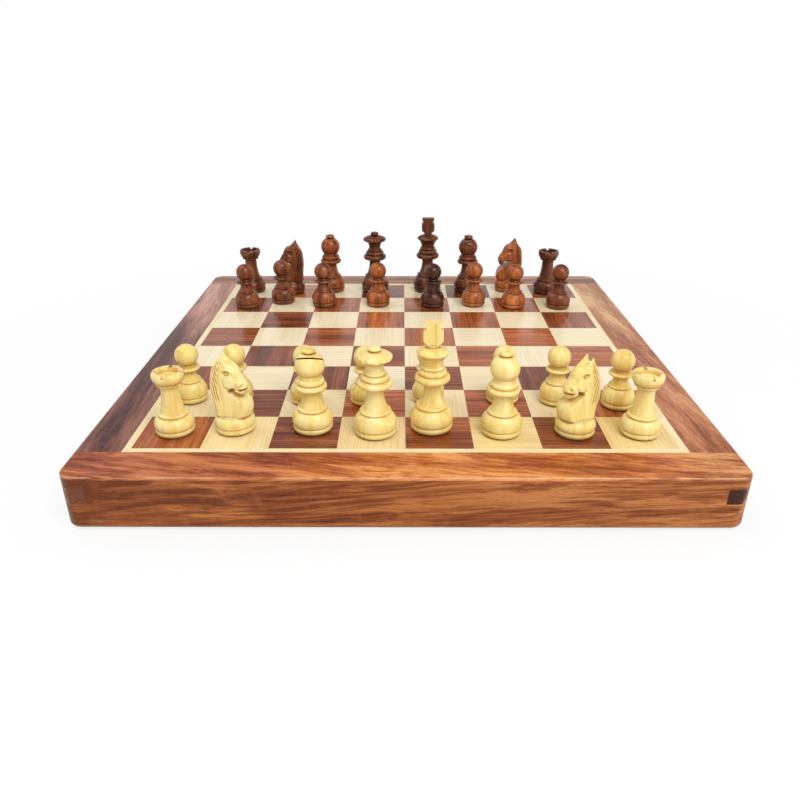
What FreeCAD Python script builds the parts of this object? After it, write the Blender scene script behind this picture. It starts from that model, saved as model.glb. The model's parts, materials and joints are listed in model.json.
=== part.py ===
import FreeCAD, Part
import math
import os

import Sketcher

# Travel chess set: a folding wooden board box with 32 magnetic chessmen, in millimetres, +Z up.
# The front edge of the open board faces -Y, the seam between the halves lies on the XZ plane,
# and z = 0 is the table under the hinge barrels.

SIZES = {
    "Board": {
        "square_size": 31.8,
        "stringing_width": 3.4,
        "border_width": 21.8,
        "seam_gap": 0.3,
        "half_height": 27.0,
        "wall_thickness": 11.5,
        "corner_radius": 7.0,
        "finger_rise": 13.4,
        "finger_height": 7.6,
        "arris_radius": 0.9,
        "foot_edge_radius": 2.0,
        "veneer_thickness": 1.5,
        "steel_thickness": 0.4,
        "panel_thickness": 2.6,
        "panel_seat_width": 4.0,
        "panel_clearance": 0.2,
        "cut_overrun": 1.0,
    },
    "Storage": {
        "insert_height": 13.0,
        "insert_clearance": 0.3,
        "insert_edge_width": 9.0,
        "insert_middle_width": 20.0,
        "officer_rib_width": 12.6,
        "pawn_rib_width": 15.6,
    },
    "Closing magnets": {
        "closing_magnet_diameter": 6.0,
        "closing_magnet_thickness": 2.0,
        "closing_magnet_spacing": 130.0,
        "magnet_clearance": 0.1,
    },
    "Hinges": {
        "hinge_spacing": 176.0,
        "hinge_length": 27.0,
        "hinge_leaf_width": 8.0,
        "hinge_leaf_thickness": 0.8,
        "hinge_pin_diameter": 1.0,
        "knuckle_diameter": 2.2,
        "knuckle_gap": 0.2,
        "pin_clearance": 0.04,
        "barrel_room": 0.4,
        "leaf_room": 0.1,
        "closing_gap": 0.2,
        "screw_spacing": 15.0,
        "screw_head_diameter": 3.2,
        "screw_shank_diameter": 1.8,
        "screw_length": 7.0,
        "screw_clearance": 0.05,
    },
    "Chessmen": {
        "foot_magnet_diameter": 9.0,
        "foot_magnet_thickness": 2.5,
        "felt_thickness": 0.8,
        "felt_inset": 0.7,
        "king_foot_diameter": 20.6,
        "king_height": 54.7,
        "king_cross_width": 9.2,
        "king_cross_thickness": 4.4,
        "queen_foot_diameter": 20.4,
        "queen_height": 44.8,
        "coronet_cut_diameter": 4.4,
        "bishop_foot_diameter": 19.5,
        "bishop_height": 42.3,
        "mitre_cut_width": 0.9,
        "knight_foot_diameter": 19.2,
        "knight_height": 39.4,
        "knight_mouth_width": 0.9,
        "rook_foot_diameter": 18.8,
        "rook_height": 31.8,
        "rook_notch_width": 1.8,
        "pawn_foot_diameter": 16.7,
        "pawn_height": 31.0,
    },
}

FILES = 8
RANKS_PER_HALF = 4
CORONET_CUTS = 9
ROOK_NOTCHES = 4
SIDES = {"front": -1, "rear": 1}

doc = FreeCAD.newDocument("travel_chess_set")
dims = doc.addObject("Spreadsheet::Sheet", "dims")
row = 0
for heading, values in SIZES.items():
    row += 1
    dims.set(f"A{row}", heading)
    for name, value in values.items():
        row += 1
        dims.set(f"A{row}", name)
        dims.set(f"B{row}", str(value))
        dims.setAlias(f"B{row}", name)
doc.recompute()


def use(name):
    """Expression for one named size."""
    return f"dims.{name}"


# Sizes worked out from the named ones, as expressions
BOARD_WIDTH = f"({FILES} * dims.square_size + 2 * dims.stringing_width + 2 * dims.border_width)"
HALF_WIDTH = f"({BOARD_WIDTH} / 2)"
HALF_DEPTH = f"({RANKS_PER_HALF} * dims.square_size + dims.stringing_width + dims.border_width)"
INNER_HALF_WIDTH = f"({HALF_WIDTH} - dims.wall_thickness)"
RIM_LEVEL = "(dims.knuckle_diameter / 2 + dims.closing_gap / 2)"
PIN_LEVEL = "(dims.knuckle_diameter / 2)"
RAIL_HEIGHT = "(dims.half_height - dims.veneer_thickness)"
RAIL_TOP = f"({RIM_LEVEL} + {RAIL_HEIGHT})"
BOARD_TOP = f"({RIM_LEVEL} + dims.half_height)"
FINGER_LOW = f"({RIM_LEVEL} + dims.finger_rise)"
FINGER_HIGH = f"({FINGER_LOW} + dims.finger_height)"
SEAT_DEPTH = "(dims.panel_thickness + dims.steel_thickness)"
PANEL_UNDERSIDE = f"({RAIL_TOP} - {SEAT_DEPTH})"
SEAT_HALF_WIDTH = f"({INNER_HALF_WIDTH} + dims.panel_seat_width)"
SEAT_NEAR = "(dims.wall_thickness - dims.panel_seat_width)"
SEAT_FAR = f"({HALF_DEPTH} - dims.wall_thickness + dims.panel_seat_width)"
KNUCKLE_LENGTH = "((dims.hinge_length - 2 * dims.knuckle_gap) / 3)"
LEAF_START = "(dims.knuckle_diameter / 2 + dims.knuckle_gap)"
TONGUE_START = "((dims.knuckle_diameter + dims.hinge_pin_diameter) / 4)"
SCREW_HEAD_HEIGHT = "((dims.screw_head_diameter - dims.screw_shank_diameter) / 2)"
SCREW_ROW = f"(({LEAF_START} + dims.hinge_leaf_width) / 2)"


def from_seam(side, distance):
    """Y of a point at a distance from the seam face of one half."""
    return f"({SIDES[side]} * (dims.seam_gap / 2 + {distance}))"


def number(expression):
    """Value that an expression has with the present sizes."""
    return float(dims.evalExpression(str(expression)))


def bind(thing, **expressions):
    """Tie properties to expressions; Base_x stands for Placement.Base.x."""
    for key, expression in expressions.items():
        path = key.replace("Base_", "Placement.Base.")
        thing.setExpression(path, str(expression))
    return thing


def origin_plane(body, role):
    return next(f for f in body.Origin.OriginFeatures if f.Role == role)


# Sketches whose points are bound one by one

def circle_through(a, b, c):
    """Centre of the circle through three points."""
    d = 2 * (a.x * (b.y - c.y) + b.x * (c.y - a.y) + c.x * (a.y - b.y))
    aa, bb, cc = (p.x ** 2 + p.y ** 2 for p in (a, b, c))
    x = (aa * (b.y - c.y) + bb * (c.y - a.y) + cc * (a.y - b.y)) / d
    y = (aa * (c.x - b.x) + bb * (a.x - c.x) + cc * (b.x - a.x)) / d
    return FreeCAD.Vector(x, y, 0)


def ball_centre(neck, tip):
    """Centre on the upright axis of the ball that passes the neck and ends at the tip on the axis."""
    level = (tip.y ** 2 - neck.y ** 2 - neck.x ** 2) / (2 * (tip.y - neck.y))
    return FreeCAD.Vector(0, level, 0)


def pin_point(sketch, geometry, position, point):
    """Hold one point of a sketch at a pair of expressions."""
    for kind, expression in zip(("DistanceX", "DistanceY"), point):
        index = sketch.addConstraint(
            Sketcher.Constraint(kind, -1, 1, geometry, position, number(expression)))
        sketch.setExpression(f"Constraints[{index}]", str(expression))


def vector(point):
    return FreeCAD.Vector(number(point[0]), number(point[1]), 0)


def add_loop(sketch, path):
    """Closed loop of steps: (x, y) is a line to x, y; (x, y, mid x, mid y) is an arc that ends there
    and passes the middle point; (x, y, "ball") is an arc whose centre lies on the upright axis."""
    ends = []
    for step, before in zip(path, path[-1:] + path[:-1]):
        start, stop = vector(before), vector(step)
        if len(step) == 2:
            index = sketch.addGeometry(Part.LineSegment(start, stop))
            ends.append((index, 1, 2))
            continue
        if step[2] == "ball":
            centre = ball_centre(start, stop)
            turn = 1
        else:
            middle = vector(step[2:])
            centre = circle_through(start, middle, stop)
            turn = (middle - start).cross(stop - middle).z
        first, last = (start, stop) if turn > 0 else (stop, start)
        angles = [math.atan2((p - centre).y, (p - centre).x) for p in (first, last)]
        circle = Part.Circle(centre, FreeCAD.Vector(0, 0, 1), (start - centre).Length)
        index = sketch.addGeometry(Part.ArcOfCircle(circle, *angles))
        ends.append((index, 1, 2) if turn > 0 else (index, 2, 1))
        if step[2] == "ball":
            sketch.addConstraint(Sketcher.Constraint("PointOnObject", index, 3, -2))
            continue
        mark = sketch.addGeometry(Part.Point(middle), True)
        sketch.addConstraint(Sketcher.Constraint("PointOnObject", mark, 1, index))
        pin_point(sketch, mark, 1, step[2:])
    for here, after, step in zip(ends, ends[1:] + ends[:1], path):
        sketch.addConstraint(Sketcher.Constraint("Coincident", here[0], here[2], after[0], after[1]))
        pin_point(sketch, here[0], here[2], step[:2])


def add_circle(sketch, x, y, diameter):
    circle = Part.Circle(vector((x, y)), FreeCAD.Vector(0, 0, 1), number(diameter) / 2)
    index = sketch.addGeometry(circle)
    pin_point(sketch, index, 3, (x, y))
    size = sketch.addConstraint(Sketcher.Constraint("Diameter", index, number(diameter)))
    sketch.setExpression(f"Constraints[{size}]", str(diameter))


def new_sketch(body, role="XY_Plane", level=None):
    """Sketch on a plane of its body's origin, lifted along the plane's normal."""
    sketch = body.newObject("Sketcher::SketchObject", "outline")
    sketch.AttachmentSupport = [(origin_plane(body, role), "")]
    sketch.MapMode = "FlatFace"
    if level is not None:
        sketch.setExpression("AttachmentOffset.Base.z", str(level))
    return sketch


def rectangle(x0, x1, y0, y1):
    return [(x0, y0), (x1, y0), (x1, y1), (x0, y1)]


def loops_sketch(body, loops, role="XY_Plane", level=None):
    sketch = new_sketch(body, role, level)
    for path in loops:
        add_loop(sketch, path)
    return sketch


def new_body(name):
    return doc.addObject("PartDesign::Body", name)


def pad(body, sketch, length, symmetric=False):
    feature = body.newObject("PartDesign::Pad", "pad")
    feature.Profile = sketch
    feature.SideType = "Symmetric" if symmetric else "One side"
    return bind(feature, Length=length)


def pocket(body, sketch, length, upward=False, symmetric=False):
    """Cut along the sketch's normal: down from it, up from it or to both sides."""
    feature = body.newObject("PartDesign::Pocket", "pocket")
    feature.Profile = sketch
    feature.Reversed = upward
    feature.SideType = "Symmetric" if symmetric else "One side"
    return bind(feature, Length=length)


def round_edges(body, wanted, radius):
    """Fillet the edges of the body so far whose middle point is wanted."""
    doc.recompute()
    base = body.Tip
    names = []
    for index, edge in enumerate(base.Shape.Edges, 1):
        middle = edge.valueAt((edge.FirstParameter + edge.LastParameter) / 2)
        if wanted(middle, edge):
            names.append(f"Edge{index}")
    feature = body.newObject("PartDesign::Fillet", "fillet")
    feature.Base = (base, names)
    return bind(feature, Radius=radius)


def polar_copies(body, feature, count):
    pattern = body.newObject("PartDesign::PolarPattern", "pattern")
    pattern.Originals = [feature]
    pattern.Axis = (next(f for f in body.Origin.OriginFeatures if f.Role == "Z_Axis"), [""])
    pattern.Angle = 360
    pattern.Occurrences = count
    body.Tip = pattern
    return pattern


def box(name, x0, x1, y0, y1, z0, height):
    """Plain board between two pairs of expressions, standing on z0."""
    low, high = sorted((y0, y1), key=number)
    block = doc.addObject("Part::Box", name)
    return bind(block, Length=f"{x1} - ({x0})", Width=f"{high} - ({low})", Height=height,
                Base_x=x0, Base_y=low, Base_z=z0)


def rod(name, diameter, length, x, y, z, along_x=False):
    """Cylinder standing on a point, or lying along X from it."""
    cylinder = doc.addObject("Part::Cylinder", name)
    if along_x:
        cylinder.Placement.Rotation = FreeCAD.Rotation(FreeCAD.Vector(0, 1, 0), 90)
    return bind(cylinder, Radius=f"{diameter} / 2", Height=length, Base_x=x, Base_y=y, Base_z=z)


def fuse(name, pieces):
    joined = doc.addObject("Part::MultiFuse", name)
    joined.Shapes = pieces
    return joined


def cut(name, base, tool):
    remainder = doc.addObject("Part::Cut", name)
    remainder.Base = base
    remainder.Tool = tool
    return remainder


def group(label, pieces, turn=0, **place):
    """Separate solids that stay separate, placed together as one piece of the set."""
    compound = doc.addObject("Part::Compound", label)
    compound.Links = pieces
    compound.Placement.Rotation = FreeCAD.Rotation(FreeCAD.Vector(0, 0, 1), turn)
    return bind(compound, **place)


NODES = []


def node(thing, label):
    thing.Label = label
    NODES.append(thing)
    return thing


# Half boxes

def panel_seat(side):
    """Outline of the rebate that takes the plywood panel and the steel sheet."""
    return rectangle(f"-{SEAT_HALF_WIDTH}", SEAT_HALF_WIDTH,
                     from_seam(side, SEAT_NEAR), from_seam(side, SEAT_FAR))


def cut_panel_seat(body, side):
    pocket(body, loops_sketch(body, [panel_seat(side)], level=RAIL_TOP), SEAT_DEPTH)


def rounded_front(side, near):
    """Plan outline from a line at a distance from the seam out to the rounded outer corners."""
    outer = from_seam(side, HALF_DEPTH)
    bend = from_seam(side, f"({HALF_DEPTH} - dims.corner_radius)")
    arc_mid = from_seam(side, f"({HALF_DEPTH} - dims.corner_radius * (1 - sin(45)))")
    bend_x = f"({HALF_WIDTH} - dims.corner_radius)"
    arc_x = f"({HALF_WIDTH} - dims.corner_radius * (1 - sin(45)))"
    start = from_seam(side, near)
    return [
        (f"-{HALF_WIDTH}", start),
        (f"-{HALF_WIDTH}", bend),
        (f"-{bend_x}", outer, f"-{arc_x}", arc_mid),
        (bend_x, outer),
        (HALF_WIDTH, bend, arc_x, arc_mid),
        (HALF_WIDTH, start),
    ]


def cut_finger_sockets(body):
    """Room at both ends for the side rails' fingers."""
    beyond = f"({HALF_WIDTH} + dims.cut_overrun)"
    ends = [rectangle(INNER_HALF_WIDTH, beyond, FINGER_LOW, FINGER_HIGH),
            rectangle(f"-{beyond}", f"-{INNER_HALF_WIDTH}", FINGER_LOW, FINGER_HIGH)]
    pocket(body, loops_sketch(body, ends, "XZ_Plane"), f"3 * {HALF_DEPTH}", symmetric=True)


def is_foot_edge(middle, edge):
    at_rim = abs(middle.z - number(RIM_LEVEL)) < number("dims.cut_overrun") / 100
    flat = edge.BoundBox.ZLength < number("dims.cut_overrun") / 100
    return at_rim and flat


def is_end_foot_edge(middle, edge):
    half_width = number(HALF_WIDTH)
    return is_foot_edge(middle, edge) and abs(abs(middle.x) - half_width) < half_width / 1000


def outer_rail(side):
    body = new_body(f"{side}_outer_rail")
    outline = rounded_front(side, f"({HALF_DEPTH} - dims.wall_thickness)")
    pad(body, loops_sketch(body, [outline], level=RIM_LEVEL), RAIL_HEIGHT)
    cut_finger_sockets(body)
    cut_panel_seat(body, side)
    inner = abs(number(from_seam(side, f"({HALF_DEPTH} - dims.wall_thickness)")))

    def wanted(middle, edge):
        return is_foot_edge(middle, edge) and abs(middle.y) > inner + number("dims.panel_clearance")

    round_edges(body, wanted, use("foot_edge_radius"))
    seats = new_sketch(body, level=RIM_LEVEL)
    for x in ("-dims.closing_magnet_spacing / 2", "dims.closing_magnet_spacing / 2"):
        add_circle(seats, x, from_seam(side, f"({HALF_DEPTH} - dims.wall_thickness / 2)"),
                   "(dims.closing_magnet_diameter + 2 * dims.magnet_clearance)")
    pocket(body, seats, "dims.closing_magnet_thickness + dims.magnet_clearance", upward=True)
    return node(body, f"{side}_outer_rail")


def side_rail(side, name, hand):
    """One side rail with a finger at each end; hand is -1 for the left and 1 for the right."""
    body = new_body(name)
    outer_x = f"({hand} * {HALF_WIDTH})"
    inner_x = f"({hand} * {INNER_HALF_WIDTH})"
    bend_x = f"({hand} * ({HALF_WIDTH} - dims.corner_radius))"
    arc_x = f"({hand} * ({HALF_WIDTH} - dims.corner_radius * (1 - sin(45))))"
    outer = from_seam(side, HALF_DEPTH)
    bend = from_seam(side, f"({HALF_DEPTH} - dims.corner_radius)")
    arc_mid = from_seam(side, f"({HALF_DEPTH} - dims.corner_radius * (1 - sin(45)))")
    outline = [(inner_x, from_seam(side, 0)), (outer_x, from_seam(side, 0)), (outer_x, bend),
               (bend_x, outer, arc_x, arc_mid), (inner_x, outer)]
    pad(body, loops_sketch(body, [outline], level=RIM_LEVEL), RAIL_HEIGHT)
    ends = []
    for low, high in ((RIM_LEVEL, FINGER_LOW), (FINGER_HIGH, RAIL_TOP)):
        for near, far in (("(-dims.cut_overrun)", use("wall_thickness")),
                          (f"({HALF_DEPTH} - dims.wall_thickness)",
                           f"({HALF_DEPTH} + dims.cut_overrun)")):
            ends.append(rectangle(from_seam(side, near), from_seam(side, far), low, high))
    pocket(body, loops_sketch(body, ends, "YZ_Plane"), f"3 * {BOARD_WIDTH}", symmetric=True)
    cut_panel_seat(body, side)
    round_edges(body, is_end_foot_edge, use("foot_edge_radius"))
    return body


def spine_rail(side):
    """Rail along the seam, let in from below for the hinge leaves, barrels and screws."""
    body = new_body(f"{side}_spine_rail")
    outline = rectangle(f"-{HALF_WIDTH}", HALF_WIDTH,
                        from_seam(side, 0), from_seam(side, use("wall_thickness")))
    pad(body, loops_sketch(body, [outline], level=RIM_LEVEL), RAIL_HEIGHT)
    cut_finger_sockets(body)
    cut_panel_seat(body, side)
    round_edges(body, is_end_foot_edge, use("foot_edge_radius"))
    recesses = new_sketch(body, level=RIM_LEVEL)
    barrels = new_sketch(body, level=RIM_LEVEL)
    holes = new_sketch(body, level=RIM_LEVEL)
    reach = "(dims.hinge_length / 2 + dims.leaf_room)"
    past_seam = from_seam(side, "(-dims.cut_overrun)")
    for hand in (-1, 1):
        middle = f"({hand} * dims.hinge_spacing / 2)"
        left, right = f"({middle} - {reach})", f"({middle} + {reach})"
        leaf_end = f"({SIDES[side]} * (dims.hinge_leaf_width + dims.leaf_room))"
        barrel_end = f"({SIDES[side]} * (dims.knuckle_diameter / 2 + dims.barrel_room))"
        add_loop(recesses, rectangle(left, right, past_seam, leaf_end))
        add_loop(barrels, rectangle(left, right, past_seam, barrel_end))
        for end in (-1, 1):
            add_circle(holes, f"({middle} + {end} * dims.screw_spacing / 2)",
                       f"({SIDES[side]} * {SCREW_ROW})",
                       "(dims.screw_shank_diameter + 2 * dims.screw_clearance)")
    pocket(body, holes, "dims.screw_length + dims.screw_clearance", upward=True)
    pocket(body, recesses, use("hinge_leaf_thickness"), upward=True)
    pocket(body, barrels, "dims.knuckle_diameter / 2 + dims.barrel_room", upward=True)
    return node(body, f"{side}_spine_rail")


def board_top(side):
    """Veneers of one half: border, stringing and squares, side by side on one level."""
    thick = use("veneer_thickness")
    field = f"({RANKS_PER_HALF} * dims.square_size)"
    field_half = f"({FILES} * dims.square_size / 2)"
    string_half = f"({field_half} + dims.stringing_width)"
    string_far = f"({field} + dims.stringing_width)"

    strips = [box(f"{side}_string", f"-{string_half}", string_half, from_seam(side, field),
                  from_seam(side, string_far), RAIL_TOP, thick)]
    front = new_body(f"{side}_border_front")
    pad(front, loops_sketch(front, [rounded_front(side, string_far)], level=RAIL_TOP), thick)
    top = number(BOARD_TOP)
    slack = number(thick) / 100
    inner = abs(number(from_seam(side, string_far)))

    def is_outer_arris(middle, edge):
        level = abs(middle.z - top) < slack and edge.BoundBox.ZLength < slack
        return level and abs(abs(middle.y) - inner) > slack

    round_edges(front, is_outer_arris, use("arris_radius"))
    borders = [front]
    half_width = number(HALF_WIDTH)

    def is_side_arris(middle, edge):
        level = abs(middle.z - top) < slack and edge.BoundBox.ZLength < slack
        return level and abs(abs(middle.x) - half_width) < slack

    for hand in (-1, 1):
        near, middle, far = (f"({hand} * {x})" for x in (field_half, string_half, HALF_WIDTH))
        left, right = sorted((near, middle), key=number)
        strips.append(box(f"{side}_string_side", left, right, from_seam(side, 0),
                          from_seam(side, field), RAIL_TOP, thick))
        strip = new_body(f"{side}_border_side")
        plan = rectangle(middle, far, from_seam(side, 0), from_seam(side, string_far))
        pad(strip, loops_sketch(strip, [plan], level=RAIL_TOP), thick)
        round_edges(strip, is_side_arris, use("arris_radius"))
        borders.append(strip)
    node(group(f"{side}_border", borders), f"{side}_border")
    node(group(f"{side}_stringing", strips), f"{side}_stringing")

    squares = {"dark": [], "light": []}
    for rank in range(RANKS_PER_HALF):
        for file in range(FILES):
            row_from_front = RANKS_PER_HALF - 1 - rank if side == "front" else RANKS_PER_HALF + rank
            tone = "dark" if (file + row_from_front) % 2 == 0 else "light"
            left = f"({file - FILES / 2} * dims.square_size)"
            squares[tone].append(box(
                f"{side}_square", left, f"({left} + dims.square_size)",
                from_seam(side, f"({rank} * dims.square_size)"),
                from_seam(side, f"({rank + 1} * dims.square_size)"), RAIL_TOP, thick))
    for tone, tiles in squares.items():
        node(group(f"{side}_{tone}_squares", tiles), f"{side}_{tone}_squares")


def board_bed(side):
    """Plywood panel and steel sheet that lie in the rebate under the squares."""
    half = f"({SEAT_HALF_WIDTH} - dims.panel_clearance)"
    near = from_seam(side, f"({SEAT_NEAR} + dims.panel_clearance)")
    far = from_seam(side, f"({SEAT_FAR} - dims.panel_clearance)")
    node(box(f"{side}_panel", f"-{half}", half, near, far, PANEL_UNDERSIDE, use("panel_thickness")),
         f"{side}_panel")
    steel_level = f"({PANEL_UNDERSIDE} + dims.panel_thickness)"
    node(box(f"{side}_steel_sheet", f"-{half}", half, near, far, steel_level, use("steel_thickness")),
         f"{side}_steel_sheet")


# Storage slots: how the free depth of an insert is shared by its two rows
SLOT_SHARES = {"officer": 0.635, "pawn": 0.365}


def storage_insert(side):
    """Padded insert with a row of long slots for the officers and a row of short ones for the pawns."""
    body = new_body(f"{side}_storage_insert")
    half = f"({INNER_HALF_WIDTH} - dims.insert_clearance)"
    near = "(dims.wall_thickness + dims.insert_clearance)"
    far = f"({HALF_DEPTH} - dims.wall_thickness - dims.insert_clearance)"
    level = f"({PANEL_UNDERSIDE} - dims.insert_height)"
    plan = rectangle(f"-{half}", half, from_seam(side, near), from_seam(side, far))
    pad(body, loops_sketch(body, [plan], level=level), use("insert_height"))
    pitch = f"(2 * {half} / {FILES})"
    free = f"({far} - {near} - 2 * dims.insert_edge_width - dims.insert_middle_width)"
    starts = {"pawn": f"({near} + dims.insert_edge_width)",
              "officer": f"({far} - dims.insert_edge_width - {SLOT_SHARES['officer']} * {free})"}
    slots = []
    for kind, start in starts.items():
        stop = f"({start} + {SLOT_SHARES[kind]} * {free})"
        reach = f"(({pitch} - dims.{kind}_rib_width) / 2)"
        for file in range(FILES):
            middle = f"({file - (FILES - 1) / 2} * {pitch})"
            slots.append(rectangle(f"({middle} - {reach})", f"({middle} + {reach})",
                                   from_seam(side, start), from_seam(side, stop)))
    pocket(body, loops_sketch(body, slots, level=level), use("insert_height"), upward=True)
    return node(body, f"{side}_storage_insert")


def closing_magnets(side):
    discs = []
    for hand in (-1, 1):
        discs.append(rod(f"{side}_closing_magnet", use("closing_magnet_diameter"),
                         use("closing_magnet_thickness"),
                         f"({hand} * dims.closing_magnet_spacing / 2)",
                         from_seam(side, f"({HALF_DEPTH} - dims.wall_thickness / 2)"),
                         f"({RIM_LEVEL} + dims.magnet_clearance)"))
    return node(group(f"{side}_closing_magnets", discs), f"{side}_closing_magnets")


# Hinges, modelled about the middle of one hinge and placed twice

def hinge_leaf(side):
    """Leaf with its knuckles: two outer ones in front, the middle one behind."""
    sign = SIDES[side]
    half = "(dims.hinge_length / 2)"
    middle_half = f"({KNUCKLE_LENGTH} / 2)"
    outer_start = f"({middle_half} + dims.knuckle_gap)"
    if side == "front":
        spans = [(f"-{half}", f"-{outer_start}"), (outer_start, half)]
    else:
        spans = [(f"-{middle_half}", middle_half)]
    thick = use("hinge_leaf_thickness")
    solids = [box(f"{side}_leaf_plate", f"-{half}", half, f"({sign} * {LEAF_START})",
                  f"({sign} * dims.hinge_leaf_width)", RIM_LEVEL, thick)]
    for start, stop in spans:
        solids.append(box(f"{side}_leaf_tongue", start, stop, f"({sign} * {TONGUE_START})",
                          f"({sign} * {LEAF_START})", RIM_LEVEL, thick))
        solids.append(rod(f"{side}_knuckle", use("knuckle_diameter"), f"{stop} - ({start})",
                          start, 0, PIN_LEVEL, along_x=True))
    tools = [rod(f"{side}_pin_bore", "(dims.hinge_pin_diameter + 2 * dims.pin_clearance)",
                 use("hinge_length"), f"-{half}", 0, PIN_LEVEL, along_x=True)]
    for end in (-1, 1):
        place = dict(Base_x=f"{end} * dims.screw_spacing / 2", Base_y=f"{sign} * {SCREW_ROW}",
                     Base_z=RIM_LEVEL)
        sink = doc.addObject("Part::Cone", f"{side}_countersink")
        bind(sink, Radius1="dims.screw_head_diameter / 2 + dims.screw_clearance",
             Radius2="dims.screw_shank_diameter / 2 + dims.screw_clearance",
             Height=SCREW_HEAD_HEIGHT, **place)
        hole = rod(f"{side}_screw_hole", "(dims.screw_shank_diameter + 2 * dims.screw_clearance)",
                   use("hinge_leaf_thickness"), place["Base_x"], place["Base_y"], RIM_LEVEL)
        tools += [sink, hole]
    return cut(f"{side}_leaf", fuse(f"{side}_leaf_blank", solids), fuse(f"{side}_leaf_holes", tools))


def hinge_screw(side):
    head = doc.addObject("Part::Cone", f"{side}_screw_head")
    place = dict(Base_y=f"{SIDES[side]} * {SCREW_ROW}", Base_z=RIM_LEVEL)
    bind(head, Radius1="dims.screw_head_diameter / 2", Radius2="dims.screw_shank_diameter / 2",
         Height=SCREW_HEAD_HEIGHT, **place)
    shank = rod(f"{side}_screw_shank", use("screw_shank_diameter"),
                f"dims.screw_length - {SCREW_HEAD_HEIGHT}", 0, place["Base_y"],
                f"{RIM_LEVEL} + {SCREW_HEAD_HEIGHT}")
    return fuse(f"{side}_screw", [head, shank])


def hinges():
    pin = rod("hinge_pin", use("hinge_pin_diameter"), use("hinge_length"),
              "-dims.hinge_length / 2", 0, PIN_LEVEL, along_x=True)

    def at_hinges(name, master):
        return [group(name, [master], Base_x=f"{hand} * dims.hinge_spacing / 2") for hand in (-1, 1)]

    node(group("hinge_pins", at_hinges("placed_pin", pin)), "hinge_pins")
    for side in SIDES:
        leaves = at_hinges(f"placed_{side}_leaf", hinge_leaf(side))
        node(group(f"hinge_{side}_leaves", leaves), f"hinge_{side}_leaves")
        master = hinge_screw(side)
        screws = []
        for hand in (-1, 1):
            for end in (-1, 1):
                x = f"({hand} * dims.hinge_spacing + {end} * dims.screw_spacing) / 2"
                screws.append(group(f"placed_{side}_screw", [master], Base_x=x))
        node(group(f"hinge_{side}_screws", screws), f"hinge_{side}_screws")


# Chessmen. Turned outlines run from the foot's edge to the tip, as shares of the foot's radius and
# of the height; a step of four shares is an arc that ends at the first two and passes the last two,
# and a ball ends at the axis.

FOOT_EDGE_SHARE = 0.93
OUTLINE_SHARES = {
    "king": [
        (0.985, 0.056, 0.99, 0.035), (0.93, 0.066), (0.985, 0.078), (0.77, 0.206, 1.0, 0.135),
        (0.71, 0.214), (0.7, 0.244, 0.745, 0.229), (0.61, 0.25), (0.4, 0.447, 0.45, 0.33),
        (0.74, 0.466), (0.74, 0.522, 0.82, 0.494), (0.63, 0.53), (0.61, 0.572, 0.66, 0.551),
        (0.52, 0.58), (0.5, 0.61, 0.545, 0.595), (0.45, 0.616), (0.71, 0.716, 0.535, 0.675),
        (0.72, 0.742, 0.755, 0.729), (0.26, 0.775, 0.52, 0.766), (0.26, 0.8), (0, 0.8),
    ],
    "queen": [
        (0.985, 0.066, 0.99, 0.042), (0.93, 0.078), (0.985, 0.092), (0.76, 0.24, 1.0, 0.15),
        (0.7, 0.253), (0.69, 0.287, 0.74, 0.27), (0.61, 0.294), (0.4, 0.535, 0.445, 0.4),
        (0.74, 0.558), (0.74, 0.622, 0.82, 0.59), (0.62, 0.632), (0.59, 0.684, 0.65, 0.658),
        (0.48, 0.692), (0.46, 0.722, 0.505, 0.707), (0.42, 0.729), (0.78, 0.862, 0.465, 0.805),
        (0.78, 0.9, 0.825, 0.881), (0.2, 0.942, 0.5, 0.931), (0.16, 0.996, 0.29, 0.97),
        (0, 1.0, "ball"),
    ],
    "bishop": [
        (0.985, 0.07, 0.99, 0.045), (0.93, 0.083), (0.985, 0.097), (0.76, 0.25, 1.0, 0.16),
        (0.69, 0.258), (0.68, 0.291, 0.73, 0.275), (0.6, 0.298), (0.44, 0.495, 0.485, 0.38),
        (0.71, 0.514), (0.71, 0.57, 0.785, 0.542), (0.63, 0.58), (0.61, 0.64, 0.675, 0.61),
        (0.54, 0.65), (0.53, 0.685), (0.36, 0.935, 0.715, 0.795), (0.22, 0.942),
        (0.18, 0.996, 0.33, 0.969), (0, 1.0, "ball"),
    ],
    "knight": [
        (0.985, 0.073, 0.99, 0.048), (0.93, 0.087), (0.985, 0.101), (0.84, 0.214, 1.0, 0.15),
        (0.78, 0.222), (0.8, 0.236), (0, 0.236),
    ],
    "rook": [
        (0.985, 0.088, 0.99, 0.058), (0.93, 0.104), (0.985, 0.121), (0.76, 0.29, 1.0, 0.19),
        (0.71, 0.3), (0.7, 0.346, 0.755, 0.323), (0.62, 0.356), (0.45, 0.772, 0.482, 0.55),
        (0.57, 0.793), (0.58, 0.825, 0.625, 0.809), (0.65, 0.836), (0.775, 0.982, 0.76, 0.89),
        (0.74, 1.0), (0.58, 1.0), (0.55, 0.93), (0, 0.93),
    ],
    "pawn": [
        (0.985, 0.09, 0.99, 0.06), (0.925, 0.107), (0.985, 0.124), (0.71, 0.348, 1.0, 0.21),
        (0.66, 0.357), (0.65, 0.395, 0.7, 0.376), (0.57, 0.402), (0.42, 0.56, 0.47, 0.475),
        (0.68, 0.572), (0.68, 0.62, 0.755, 0.596), (0.46, 0.632), (0.42, 0.655), (0, 1.0, "ball"),
    ],
}

# King's cross from its neck up: shares of half its width and of its height
CROSS_FOOT_SHARE = 0.785
CROSS_SHARES = [(0.52, 0.0), (0.6, 0.1), (0.95, 0.2), (1.0, 0.26), (1.0, 0.66), (0.7, 0.73), (0.74, 0.79),
                (0.94, 0.86), (0.94, 1.0)]

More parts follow.
